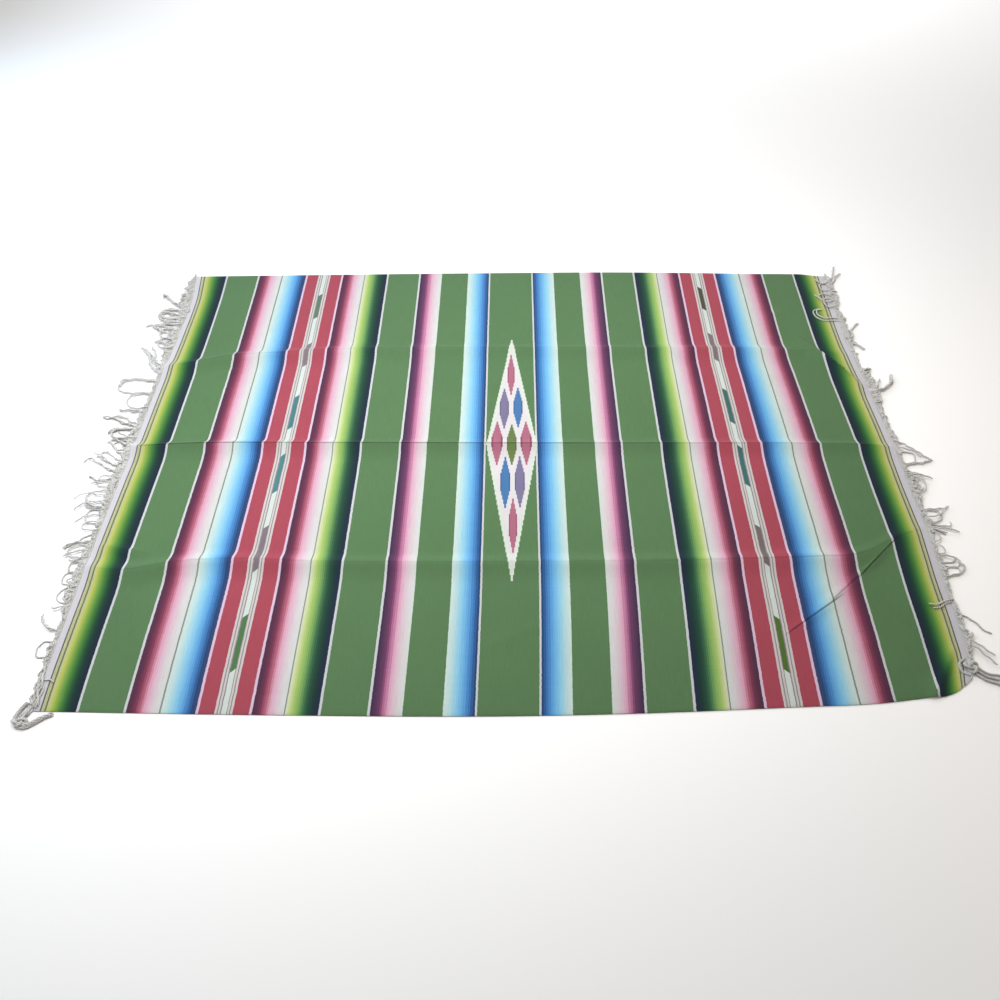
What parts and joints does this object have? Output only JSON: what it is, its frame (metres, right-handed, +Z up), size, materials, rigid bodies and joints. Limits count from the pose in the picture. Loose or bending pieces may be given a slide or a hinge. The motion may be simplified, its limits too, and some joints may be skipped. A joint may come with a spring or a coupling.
{
  "type": "mexican serape",
  "caption": "Striped woven wrap laid flat, with shaded bands, a long stepped diamond at its centre, plain end headings, loose warp fringe and knotted front corners.",
  "frame": {"origin": "on the floor, under the middle of the whole object's box", "axes": "+X along the cloth's length, from the left fringe to the right one; +Y across its width, from the front selvedge to the back one, the way the stripes run; +Z up, out of the cloth's face"},
  "size_m": [2.3594, 1.5786, 0.0203],
  "materials": {
    "striped_weave": "matte weft-faced wool with a low nap, green ground with shaded and plain stripes",
    "heading_cotton": "matte off-white cotton, coarse plain weave",
    "fringe_cotton": "matte off-white twisted cotton warp ends, unbleached and a little soiled"
  },
  "bodies": {
    "root": {"web": "striped_weave", "heading_left": "heading_cotton", "heading_right": "heading_cotton", "fringe_left": "fringe_cotton", "fringe_right": "fringe_cotton", "knot_front_left": "fringe_cotton", "knot_front_right": "fringe_cotton"}
  },
  "joints": []
}
